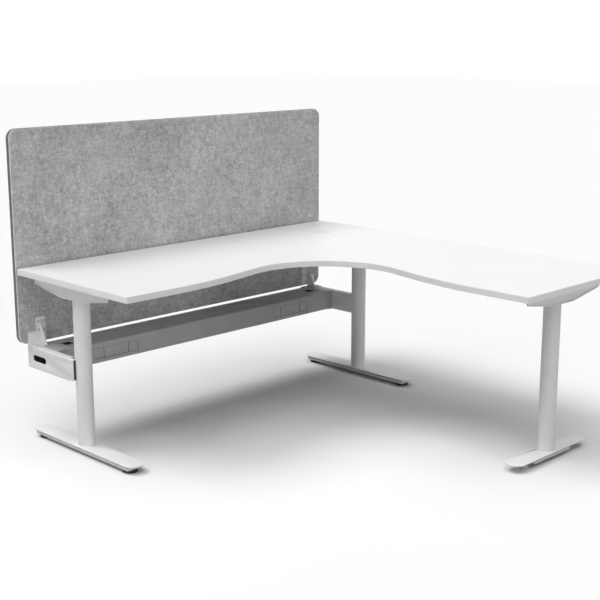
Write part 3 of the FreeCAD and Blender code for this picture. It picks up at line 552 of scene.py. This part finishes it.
def makeFootChannel(nodeName, shape, shortened=False):
    low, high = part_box(nodeName)
    if shortened:
        middleX = (low.x + high.x) / 2
        low.x = middleX - shape["shortHalf"]
        high.x = middleX + shape["shortHalf"]
    high.z -= shape["neckHeight"]
    panHeight = high.z - low.z
    piece = startPiece(pieceName(nodeName), high - low, (low + high) / 2)
    pickFaces(piece, lambda normal: normal.z > shape["upright"])
    bpy.ops.mesh.inset(thickness=shape["neckInset"])
    extrudeAlong(0, 0, shape["neckHeight"])
    pickFaces(piece, lambda normal: normal.z < -shape["upright"])
    bpy.ops.mesh.inset(thickness=shape["wall"])
    extrudeAlong(0, 0, panHeight - shape["wall"])
    pickEdges(piece, lambda a, b: abs(a.z - b.z) > panHeight / 2)
    bpy.ops.mesh.bevel(offset=shape["cornerRadius"], segments=shape["cornerSteps"], affect="EDGES")
    roundEdges(piece, shape["edgeRadius"], shape["edgeSteps"])
    finishPiece(piece, nodeName, finishes["whitePowderCoat"])
    # painted shade: the faces of the gap above the shoulder are painted black to stand for its deep shade
    piece.data.materials.append(finishes["blackCoatAndPaintedShade"])
    paintedShadeStart = high.z - shape["edgeRadius"] / 4
    for face in piece.data.polygons:
        if face.center.z > paintedShadeStart:
            face.material_index = 1


makeFootChannel("foot_channel_left", footChannelShape)
makeFootChannel("foot_channel_corner", footChannelShape)
makeFootChannel("foot_channel_right", footChannelShape, shortened=True)
print("foot channels made")


# Felt faces of the screen: a rounded rim all round and a fine grid, with the cut side dark and the upright
# parts of the rim painted pale as a painted highlight
feltShape = {
    "cornerRadius": 40 * millimetre,
    "cornerSteps": 12,
    "rimRadius": 4.8 * millimetre,
    "rimSteps": 4,
    "gridStep": 20 * millimetre,
    # how far a face must turn from the front to count as cut side or as rim with a painted highlight
    "cutFacing": 0.25,
    "highlightFacing": 0.95,
    "highlightSide": 0.3,
    # how near an edge must lie to the outer plane
    "near": 0.01 * millimetre,
}


# outward is -1 for the face toward the user and 1 for the back
def makeFeltFace(nodeName, outward, shape):
    low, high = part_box(nodeName)
    piece = startPiece(pieceName(nodeName), high - low, (low + high) / 2)
    pickEdges(piece, lambda a, b: abs(a.y - b.y) > (high.y - low.y) / 2)
    bpy.ops.mesh.bevel(offset=shape["cornerRadius"], segments=shape["cornerSteps"], affect="EDGES")
    bpy.ops.object.mode_set(mode="OBJECT")
    outerY = low.y if outward < 0 else high.y
    pickEdges(piece, lambda a, b: max(abs(a.y - outerY), abs(b.y - outerY)) < shape["near"])
    bpy.ops.mesh.bevel(offset=shape["rimRadius"], segments=shape["rimSteps"], affect="EDGES")
    cutAcross(shape["gridStep"], low.x, high.x, (1, 0, 0))
    cutAcross(shape["gridStep"], low.z, high.z, (0, 0, 1))
    bpy.ops.object.mode_set(mode="OBJECT")
    finishPiece(piece, nodeName, greyFelt)
    piece.data.materials.append(cutEdge)
    piece.data.materials.append(paintedHighlightRim)
    for face in piece.data.polygons:
        facing = face.normal.y * outward
        if facing < shape["cutFacing"]:
            face.material_index = 1
        # the upright parts of the rim get the painted highlight
        elif facing < shape["highlightFacing"] and abs(face.normal.x) > shape["highlightSide"]:
            face.material_index = 2


makeFeltFace("screen_felt_front", -1, feltShape)
makeFeltFace("screen_felt_back", 1, feltShape)
print("felt faces made")


# Floor, light and camera

# The camera sees a paler floor than the light does, so the floor lights the desk from below only a little
floorLook = {
    "size": 60.0,
    "seenColour": (0.965, 0.965, 0.965),
    "litColour": (0.48, 0.48, 0.48),
    "gloss": {"Roughness": 0.9, "Specular IOR Level": 0.0},
}
bpy.ops.object.select_all(action="DESELECT")
bpy.ops.mesh.primitive_plane_add(size=floorLook["size"], location=(0, 0, 0))
floor = bpy.context.object
floor.name = "studioFloor"
floorPaint, floorTree, floorShader = newFinish("studioFloor")
floorRays = addNode(floorTree, "ShaderNodeLightPath")
floorColour = mixColours(floorTree, floorRays.outputs["Is Camera Ray"], opaque(floorLook["litColour"]),
                         opaque(floorLook["seenColour"]))
feed(floorTree, floorColour, floorShader.inputs["Base Color"])
setInputs(floorShader, floorLook["gloss"])
dress(floor, floorPaint)

# The world is white where it is seen, mirrored or seen through glass, and gives no other light
skyRays = ("Is Camera Ray", "Is Glossy Ray", "Is Transmission Ray")
world = bpy.data.worlds.new("studio")
world.use_nodes = True
bpy.context.scene.world = world
skyTree = world.node_tree
sky = skyTree.nodes["Background"]
sky.inputs["Color"].default_value = opaque((1, 1, 1))
skyPath = addNode(skyTree, "ShaderNodeLightPath")
skyStrength = skyPath.outputs[skyRays[0]]
for ray in skyRays[1:]:
    skyStrength = sums(skyTree, "MAXIMUM", skyStrength, skyPath.outputs[ray])
feed(skyTree, skyStrength, sky.inputs["Strength"])

lightLook = {
    "lamps": {
        # name: strength, spread in degrees, direction that the light comes from
        "overheadNear": (0.46, 40, (0, 0, 1)),
        "overheadWide": (0.82, 80, (0, 0, 1)),
        "behindLeft": (1.15, 30, (-0.375, 0.375, 0.848)),
        "frontLeft": (0.46, 30, (-0.375, -0.375, 0.848)),
        "leftHigh": (0.46, 50, (-0.788, 0, 0.616)),
        "frontRight": (0.16, 50, (0.394, -0.682, 0.616)),
        "behindHigh": (0.1, 50, (0, 0.788, 0.616)),
        "frontLow": (0.6, 30, (0, -0.995, 0.105)),
    },
    "softboxes": {
        # name: power in watts, width, place, point that it faces
        "leftBox": (1.8, 0.8, (-2.2, 0.35, 0.55), (-0.8, 0.35, 0.45)),
    },
}


def placeLamp(name, lampData, direction):
    lamp = bpy.data.objects.new(name, lampData)
    lamp.rotation_euler = direction.to_track_quat("Z", "Y").to_euler()
    bpy.context.collection.objects.link(lamp)
    return lamp


for name, (strength, lampSpread, comesFrom) in lightLook["lamps"].items():
    lampData = bpy.data.lights.new(name, "SUN")
    lampData.energy = strength
    lampData.angle = math.radians(lampSpread)
    placeLamp(name, lampData, Vector(comesFrom))
for name, (power, width, place, aim) in lightLook["softboxes"].items():
    lampData = bpy.data.lights.new(name, "AREA")
    lampData.energy = power
    lampData.shape = "DISK"
    lampData.size = width
    lamp = placeLamp(name, lampData, Vector(place) - Vector(aim))
    lamp.location = place
    lamp.visible_camera = False

# dip is the angle below level and heading the turn from straight back, in degrees
cameraLook = {
    "place": (-3.4538, -3.33, 1.7077),
    "dip": 12.93,
    "heading": -44.95,
    "lens": 70.98,
    "sensorWidth": 36,
}
cameraData = bpy.data.cameras.new("camera")
cameraData.lens = cameraLook["lens"]
cameraData.sensor_width = cameraLook["sensorWidth"]
camera = bpy.data.objects.new("camera", cameraData)
camera.location = cameraLook["place"]
camera.rotation_euler = (math.radians(90 - cameraLook["dip"]), 0, math.radians(cameraLook["heading"]))
bpy.context.collection.objects.link(camera)
bpy.context.scene.camera = camera
bpy.context.scene.view_settings.view_transform = "Standard"
print("floor, light and camera placed")
